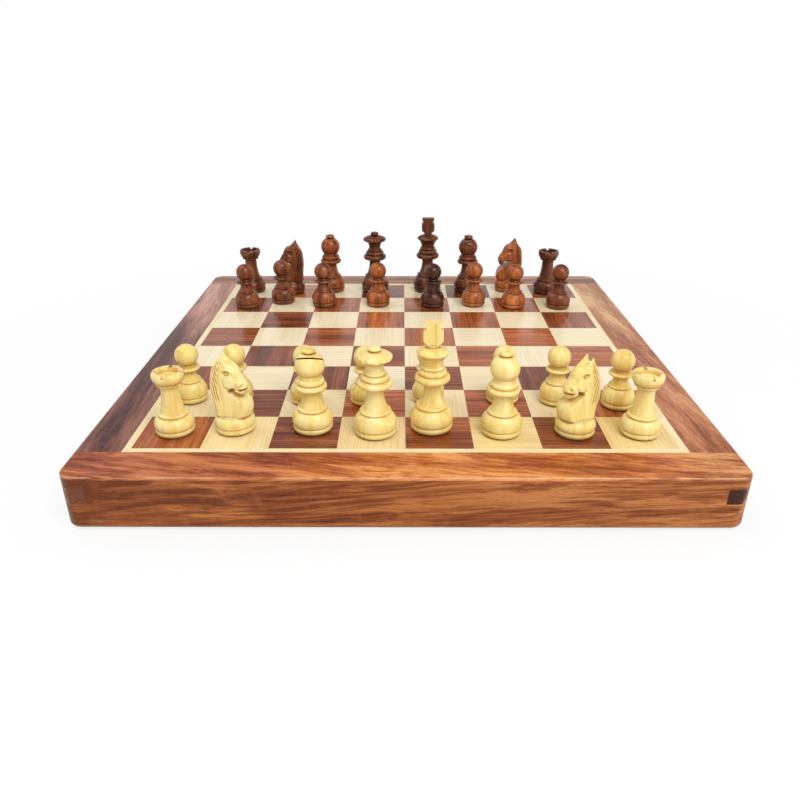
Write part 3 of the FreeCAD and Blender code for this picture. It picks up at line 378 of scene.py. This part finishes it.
materials = {
    "front_rail": rosewood("front_rail_wood", "X", RAIL, RAIL_ENDS, 1.0, 10.0, 0.05, 0.15,
                           zones=[(100.0, 80.0, RAIL_RIGHT, 0.8), (-120.0, 70.0, RAIL_LEFT, 0.9)]),
    "rear_rail": rosewood("rear_rail_wood", "X", RAIL, RAIL_ENDS, 4.0, 9.0, -0.04, 0.15),
    "side_rail": rosewood("side_rail_wood", "Y", SIDE_RAIL, FINGER_ENDS, 2.0, 8.0, 0.05, 0.15),
    "spine_rail": rosewood("spine_rail_wood", "X", RAIL, RAIL_ENDS, 6.0, 6.0, 0.02, 0.15),
    "front_strip": rosewood("border_front_wood", "X", PINK, RAIL_ENDS, 3.0, 9.0, 0.14,
                            zones=[(60.0, 140.0, ORANGE, 0.95), (88.0, 16.0, PURPLE, 0.2),
                                   (120.0, 14.0, PURPLE, 0.2), (148.0, 26.0, TAN, 0.8)]),
    "rear_strip": rosewood("border_rear_wood", "X", REAR_BORDER, RAIL_ENDS, 5.0, 6.0, 0.05,
                           zones=[(60.0, 60.0, TAN, 0.6)]),
    "left_strip": rosewood("border_left_wood", "Y", LEFT_BORDER, RAIL_ENDS, 7.0, 5.0, 0.06,
                           zones=[(120.0, 110.0, LEFT_BORDER_REAR, 0.9)]),
    "right_strip": rosewood("border_right_wood", "Y", RIGHT_BORDER, RAIL_ENDS, 8.0, 7.0, 0.1,
                            zones=[(110.0, 100.0, RIGHT_BORDER_REAR, 0.9)]),
    "dark_square": square_wood("dark_square_wood", DEEP_SQUARE, RED_SQUARE, 2.0, 0.12, 0.5, 0.6),
    "light_square": square_wood("light_square_wood", PALE_SQUARE, YELLOW_SQUARE, 5.0, 0.16, 0.6, 0.1, 0.5),
    "stringing": square_wood("stringing_wood", PALE_STRINGING, YELLOW_STRINGING, 9.0, 0.16, 0.6, 0.1),
    # for both sets of men, the colour after the two woods is the painted shade of hollows and undersides, and
    # the next is the edge colour, partly rubbed wear and partly painted highlight
    "light_man": turned_wood("light_man_wood", YELLOW_MAN, PALE_MAN, tint(186, 112, 30), tint(254, 243, 196),
                             0.17, 0.1),
    "dark_man": turned_wood("dark_man_wood", BROWN_MAN, ORANGE_MAN, tint(24, 11, 9), tint(156, 94, 64),
                            0.13, 0.55),
    "felt": cloth("foot_felt", tint(34, 74, 50), tint(18, 44, 30), 3.2, 0.12),
    "velvet": cloth("insert_velvet", tint(34, 62, 46), tint(12, 28, 20), 5.0, 0.15),
    "brass": metal("hinge_brass", tint(206, 164, 82), tint(146, 106, 50), 0.26),
    "screw": metal("screw_brass", tint(198, 154, 76), tint(128, 92, 44), 0.3, (1.2, 1.2, 1.2)),
    "pin": metal("pin_steel", tint(176, 176, 178), tint(120, 118, 116), 0.28, (0.05, 2.0, 2.0)),
    "steel": metal("sheet_steel", tint(168, 170, 174), tint(122, 122, 126), 0.42),
    "magnet": metal("magnet_nickel", tint(190, 188, 184), tint(140, 138, 134), 0.22, (0.4, 0.4, 0.4)),
    "plywood": plywood(),
}


# Pieces

def add_mesh(name, points, faces):
    mesh = bpy.data.meshes.new(name)
    mesh.from_pydata(points, [], faces)
    piece = bpy.data.objects.new(name, mesh)
    scene.collection.objects.link(piece)
    return piece


def dress(piece, slot, *keys, choose=None):
    """Give a piece its materials; choose picks one for each face."""
    mesh = piece.data
    mesh.materials.clear()
    for key in keys:
        mesh.materials.append(materials[key])
    picks = [choose(face) if choose else 0 for face in mesh.polygons]
    mesh.polygons.foreach_set("material_index", picks)


def border_strip(face):
    if abs(face.center.y) > STRING_FAR:
        return 0
    return 1 if face.center.x < 0 else 2


def felt_or_wood(face):
    return 1 if face.center.z < FELT_TOP - 0.01 * MM else 0


# Storage inserts: velvet over foam, with rounded ribs between the slots

PAD_ROUND = 3.2 * MM
SLOT_MARGIN = 0.2 * MM


def grid_lines(low, high, edges, widest):
    """Lines across a pad: every edge, closer ones beside it where it is rounded, and fill between them."""
    lines = {low, high}
    for edge in edges | {low, high}:
        for share in (0.0, 0.04, 0.14, 0.3, 0.5, 0.75, 1.0):
            lines |= {edge + share * PAD_ROUND, edge - share * PAD_ROUND}
    lines = sorted(line for line in lines if low <= line <= high)
    kept = [low]
    for line in lines[1:]:
        gap = line - kept[-1]
        if gap < 0.02 * MM:
            continue
        steps = math.ceil(gap / widest)
        kept += [kept[-1] + gap * (step + 1) / steps for step in range(steps)]
    return np.array(kept)


def storage_pad(half):
    """Foam insert, shaped on its underside and flat against the panel."""
    name = f"{half}_storage_insert"
    low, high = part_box(name)
    slots = []
    for opening in frame["record"]["physics"]["openings"]:
        if opening["name"].startswith(half):
            (x0, y0, _), (x1, y1, _) = opening["box_m"]
            slots.append((x0 - SLOT_MARGIN, x1 + SLOT_MARGIN, y0 - SLOT_MARGIN, y1 + SLOT_MARGIN))
    xs = grid_lines(low.x, high.x, {x for slot in slots for x in slot[:2]}, 4 * MM)
    ys = grid_lines(low.y, high.y, {y for slot in slots for y in slot[2:]}, 4 * MM)
    gx, gy = np.meshgrid(xs, ys, indexing="ij")
    away = np.minimum.reduce([gx - low.x, high.x - gx, gy - low.y, high.y - gy])
    mx, my = np.meshgrid((xs[1:] + xs[:-1]) / 2, (ys[1:] + ys[:-1]) / 2, indexing="ij")
    solid = np.ones(mx.shape, bool)
    for x0, x1, y0, y1 in slots:
        dx = np.maximum.reduce([x0 - gx, gx - x1, np.zeros_like(gx)])
        dy = np.maximum.reduce([y0 - gy, gy - y1, np.zeros_like(gy)])
        away = np.minimum(away, np.hypot(dx, dy))
        solid &= ~((mx > x0) & (mx < x1) & (my > y0) & (my < y1))
    inner = np.clip(away, 0, PAD_ROUND)
    crown = 0.5 * MM * np.exp(-away / (2 * MM))
    under = low.z + PAD_ROUND - np.sqrt(PAD_ROUND ** 2 - (PAD_ROUND - inner) ** 2) + crown
    across = len(ys)
    points = [(x, y, z) for x, y, z in zip(gx.ravel(), gy.ravel(), under.ravel())]
    points += [(x, y, high.z) for x, y in zip(gx.ravel(), gy.ravel())]
    top = gx.size
    padded = np.pad(solid, 1)
    faces = []
    for i, j in zip(*np.nonzero(solid)):
        a, b = i * across + j, (i + 1) * across + j
        ring = [a, b, b + 1, a + 1]
        faces.append(ring[::-1])
        faces.append([corner + top for corner in ring])
        for step, (di, dj) in enumerate(((0, -1), (1, 0), (0, 1), (-1, 0))):
            if not padded[i + 1 + di, j + 1 + dj]:
                first, second = ring[step], ring[(step + 1) % 4]
                faces.append([first, second, second + top, first + top])
    pad = add_mesh(f"{half}_velvet_pad", points, faces)
    mesh = pad.data
    shape = bmesh.new()
    shape.from_mesh(mesh)
    bmesh.ops.delete(shape, geom=[v for v in shape.verts if not v.link_faces], context="VERTS")
    shape.to_mesh(mesh)
    shape.free()
    mesh.shade_smooth()
    mesh.set_sharp_from_angle(angle=math.radians(60))
    dress(pad, "velvet", "velvet")
    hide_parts(name)
    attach(pad, f"{half}_half")


# Knights: the sawn head of the frame with its mane, eye, nostril, cheek and mouth cut in

KNIGHT_RADIUS = 9.6
KNIGHT_HEIGHT = 39.4
HEAD_BASE = 0.2
BACK_LINE = ((0.236, 0.34, 0.444, 0.569, 0.698, 0.8, 0.832, 0.9, 0.93),
             (-0.92, -0.93, -0.96, -1.01, -0.97, -0.87, -0.83, -0.64, -0.53))
FACE_LINE = ((0.4, 0.5, 0.6, 0.7, 0.8, 0.9), (-0.36, -0.44, -0.5, -0.52, -0.48, -0.42))


def smooth(value, low, high):
    share = np.clip((value - low) / (high - low), 0, 1)
    return share * share * (3 - 2 * share)


def hill(distance, width):
    return np.exp(-(distance / width) ** 2)


def segment_distance(x, z, start, stop):
    """Distance of points from a straight line between two points."""
    run = np.subtract(stop, start)
    share = np.clip(((x - start[0]) * run[0] + (z - start[1]) * run[1]) / (run @ run), 0, 1)
    return np.hypot(x - start[0] - share * run[0], z - start[1] - share * run[1])


def carving(place, normal):
    """Depth in millimetres, out of the wood, at points of a head that looks along +X."""
    x, z = place[:, 0], place[:, 2]
    u, w = x / KNIGHT_RADIUS, z / KNIGHT_HEIGHT
    side = smooth(np.abs(normal[:, 1]), 0.2, 0.55)
    back, face = np.interp(w, *BACK_LINE), np.interp(w, *FACE_LINE)
    share = (u - back) / (face - back)
    reach = smooth(w, 0.38, 0.47) * smooth(0.95 - w, 0, 0.05)
    mane = reach * smooth(share, 0.0, 0.1) * smooth(1.02 - share, 0, 0.1)
    lock = u + 1.05 * w + 0.02 * np.sin(17 * w)
    furrow = (0.5 + 0.5 * np.cos(2 * np.pi * lock / 0.125)) ** 2
    depth = 0.15 * mane - 0.85 * mane * furrow
    depth -= 0.45 * reach * hill(share - 1.08, 0.09)
    eye = np.hypot((x + 0.4) * 0.8, z - 30.9)
    depth += 0.2 * hill(eye, 0.5) - 0.85 * hill(eye - 0.85, 0.45)
    depth += 0.4 * hill(segment_distance(x, z, (-1.9, 32.4), (1.3, 32.3)), 0.6)
    cheek = np.hypot(x - 0.9, z - 26.4)
    depth += 0.45 * smooth(3.3 - cheek, 0, 1.2) - 0.4 * hill(cheek - 3.5, 0.45) * smooth(27.5 - z, -1.0, 1.5)
    depth -= 0.9 * hill(np.hypot(x - 7.0, (z - 25.0) * 1.2), 0.6)
    depth += 0.3 * hill(np.hypot(x - 6.0, z - 25.6), 0.8)
    depth -= 0.6 * hill(segment_distance(x, z, (8.2, 22.6), (3.9, 23.3)), 0.35)
    depth -= 0.3 * hill(segment_distance(x, z, (1.8, 30.6), (5.6, 27.0)), 0.5)
    depth -= 0.5 * hill(segment_distance(x, z, (-2.9, 35.2), (-4.0, 38.0)), 0.45)
    return depth * side


def loose_parts(shape):
    """Groups of joined vertices."""
    left = set(shape.verts)
    while left:
        stack = [left.pop()]
        part = set(stack)
        while stack:
            for edge in stack.pop().link_edges:
                for vert in edge.verts:
                    if vert in left:
                        left.discard(vert)
                        part.add(vert)
                        stack.append(vert)
        yield part


def carve_knight(name, tone_name, tone, degrees):
    """Copy of a knight with its head carved; it is turned by so many degrees from looking along +X."""
    source = nodes[name]
    shape = bmesh.new()
    shape.from_mesh(source.data)
    bmesh.ops.remove_doubles(shape, verts=shape.verts, dist=0.002 * MM)
    foot = [v.co for v in shape.verts if v.co.z < FELT_TOP - 0.01 * MM]
    middle_x = (min(p.x for p in foot) + max(p.x for p in foot)) / 2
    middle_y = (min(p.y for p in foot) + max(p.y for p in foot)) / 2
    head_floor = BOARD_TOP + HEAD_BASE * KNIGHT_HEIGHT * MM
    head = next(part for part in loose_parts(shape) if min(v.co.z for v in part) > head_floor)
    shape.verts.index_update()
    rest = shape.copy()
    head_index = {v.index for v in head}
    bmesh.ops.delete(shape, geom=[v for v in shape.verts if v not in head], context="VERTS")
    rest.verts.ensure_lookup_table()
    bmesh.ops.delete(rest, geom=[rest.verts[index] for index in head_index], context="VERTS")

    blank = bpy.data.objects.new("blank", bpy.data.meshes.new("blank"))
    shape.to_mesh(blank.data)
    scene.collection.objects.link(blank)
    remesh = blank.modifiers.new("remesh", "REMESH")
    remesh.mode = "VOXEL"
    remesh.voxel_size = 0.22 * MM
    soften = blank.modifiers.new("soften", "SMOOTH")
    soften.factor, soften.iterations = 0.5, 3
    ready = blank.evaluated_get(bpy.context.evaluated_depsgraph_get())
    carved = bpy.data.meshes.new_from_object(ready)
    bpy.data.objects.remove(blank)
    count = len(carved.vertices)
    points, normals = np.empty(count * 3), np.empty(count * 3)
    carved.vertices.foreach_get("co", points)
    carved.vertices.foreach_get("normal", normals)
    points, normals = points.reshape(-1, 3), normals.reshape(-1, 3)
    turn = np.array(Matrix.Rotation(math.radians(degrees), 3, "Z"))
    place = (points - (middle_x, middle_y, BOARD_TOP)) / MM @ turn
    points += normals * carving(place, normals @ turn)[:, None] * MM
    carved.vertices.foreach_set("co", points.ravel())

    rest.from_mesh(carved)
    mesh = bpy.data.meshes.new(f"{name}_carved")
    rest.to_mesh(mesh)
    shape.free()
    rest.free()
    bpy.data.meshes.remove(carved)
    mesh.shade_smooth()
    mesh.set_sharp_from_angle(angle=math.radians(50))
    piece = bpy.data.objects.new(f"{name}_carved", mesh)
    scene.collection.objects.link(piece)
    dress(piece, f"{tone_name}_man_wood", f"{tone_name}_man", "felt", choose=felt_or_wood)
    piece["tone"] = tone
    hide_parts(name)
    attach(piece, f"{name}_body")


for half in HALVES:
    dress(nodes[f"{half}_outer_rail"], "rail_wood", f"{half}_rail")
    dress(nodes[f"{half}_side_rails"], "side_rail_wood", "side_rail")
    dress(nodes[f"{half}_spine_rail"], "rail_wood", "spine_rail")
    dress(nodes[f"{half}_panel"], "plywood", "plywood")
    dress(nodes[f"{half}_steel_sheet"], "steel", "steel")
    dress(nodes[f"{half}_border"], "border_wood", f"{half}_strip", "left_strip", "right_strip",
          choose=border_strip)
    dress(nodes[f"{half}_stringing"], "light_inlay", "stringing")
    dress(nodes[f"{half}_light_squares"], "light_square_wood", "light_square")
    dress(nodes[f"{half}_dark_squares"], "dark_square_wood", "dark_square")
    dress(nodes[f"{half}_closing_magnets"], "magnet", "magnet")
    dress(nodes[f"hinge_{half}_leaves"], "hinge_brass", "brass")
    dress(nodes[f"hinge_{half}_screws"], "screw_brass", "screw")
    storage_pad(half)
dress(nodes["hinge_pins"], "pin_steel", "pin")

MEN = ["rook_a", "knight_b", "bishop_c", "queen", "king", "bishop_f", "knight_g", "rook_h"]
MEN += [f"pawn_{file}" for file in "abcdefgh"]
TONES = {"light": (0.5, 0.8, 0.3, 0.9, 0.35, 0.25, 0.35, 0.8, 0.1, 0.2, 0.4, 0.3, 0.4, 0.3, 0.25, 0.15),
         "dark": (0.35, 0.4, 0.85, 0.2, 0.2, 0.4, 0.9, 0.15, 0.5, 0.45, 0.5, 0.85, 0.05, 0.9, 1.0, 0.45)}
KNIGHT_TURNS = {"light_knight_b": -12, "light_knight_g": 202, "dark_knight_b": 180, "dark_knight_g": 180}
for tone_name, shades in TONES.items():
    for man, shade in zip(MEN, shades):
        name = f"{tone_name}_{man}"
        if name in KNIGHT_TURNS:
            carve_knight(name, tone_name, shade, KNIGHT_TURNS[name])
            continue
        dress(nodes[name], f"{tone_name}_man_wood", f"{tone_name}_man", "felt", choose=felt_or_wood)
        nodes[name]["tone"] = shade


# Stage, light and camera

def floor_material():
    """Pale floor whose own glow to the camera grows to white away from the object."""
    s = Shader("studio_floor")
    speck = s.noise(s.place, (0.02, 0.02, 0.02), 2.0)
    s.finish(s.mix(speck, (0.9, 0.9, 0.9, 1.0), (0.94, 0.94, 0.94, 1.0)), 0.9)
    path = s.nodes.new("ShaderNodeLightPath").outputs
    mirrored = s.math("MAXIMUM", path["Is Glossy Ray"], path["Is Transmission Ray"])
    seen = s.math("MAXIMUM", path["Is Camera Ray"], mirrored)
    glow = s.nodes.new("ShaderNodeEmission")
    glow.inputs["Color"].default_value = (1.0, 1.0, 1.0, 1.0)
    glow.inputs["Strength"].default_value = 1.0
    x, y, _ = s.split(s.place)
    away = s.math("SQRT", s.math("ADD", s.math("MULTIPLY", x, x), s.math("MULTIPLY", y, y)))
    share = s.span(away, 170.0, 420.0, 0.8, 1.0)
    blend = s.nodes.new("ShaderNodeMixShader")
    s.put(blend.inputs[0], s.math("MULTIPLY", seen, share))
    s.links.new(s.surface.outputs[0], blend.inputs[1])
    s.links.new(glow.outputs[0], blend.inputs[2])
    s.links.new(blend.outputs[0], s.out.inputs["Surface"])
    return s.material


REACH = 6.0
corners = [(-REACH, -REACH, 0), (REACH, -REACH, 0), (REACH, REACH, 0), (-REACH, REACH, 0)]
floor = add_mesh("floor", corners, [(0, 1, 2, 3)])
floor.data.materials.append(floor_material())


AMBIENT = 0.46
KEY_POWER = 12.6
FILL_POWER = 4.6


def studio_world():
    """White backdrop, even soft light, and a darker room above the backdrop for reflections."""
    world = bpy.data.worlds.new("studio")
    world.use_nodes = True
    t = Tree(world.node_tree)
    path = t.nodes.new("ShaderNodeLightPath").outputs
    height = t.split(t.nodes.new("ShaderNodeTexCoord").outputs["Generated"])[2]
    backdrop = t.span(height, 0.3, 0.52, 0.9, 0.15)
    strength = t.total((path["Is Diffuse Ray"], AMBIENT), (path["Is Glossy Ray"], backdrop),
                       (path["Is Camera Ray"], 1.0), (path["Is Transmission Ray"], 1.0))
    sky = t.nodes.new("ShaderNodeBackground")
    sky.inputs["Color"].default_value = (1.0, 1.0, 1.0, 1.0)
    t.put(sky.inputs["Strength"], strength)
    out = t.nodes.new("ShaderNodeOutputWorld")
    t.links.new(sky.outputs[0], out.inputs["Surface"])
    return world


scene.world = studio_world()


def softbox(name, place, aim, size, power):
    data = bpy.data.lights.new(name, "AREA")
    data.shape = "SQUARE"
    data.size = size
    data.energy = power
    lamp = bpy.data.objects.new(name, data)
    scene.collection.objects.link(lamp)
    lamp.location = place
    lamp.rotation_mode = "QUATERNION"
    lamp.rotation_quaternion = (Vector(aim) - Vector(place)).to_track_quat("-Z", "Y")


softbox("key_light", (0.4, -0.8, 1.1), (0.0, 0.0, 0.03), 0.8, KEY_POWER)
softbox("fill_light", (-0.7, 0.3, 1.2), (0.0, 0.0, 0.03), 1.0, FILL_POWER)

lens = bpy.data.cameras.new("camera")
lens.sensor_width = 36.0
lens.lens = 32.4
lens.clip_start, lens.clip_end = 0.01, 50.0
camera = bpy.data.objects.new("camera", lens)
scene.collection.objects.link(camera)
camera.location = (-0.0018, -0.4167, 0.1954)
camera.rotation_euler = (math.pi / 2 - 0.4565, 0.0, 0.0026)
scene.camera = camera

scene.view_settings.view_transform = "Standard"
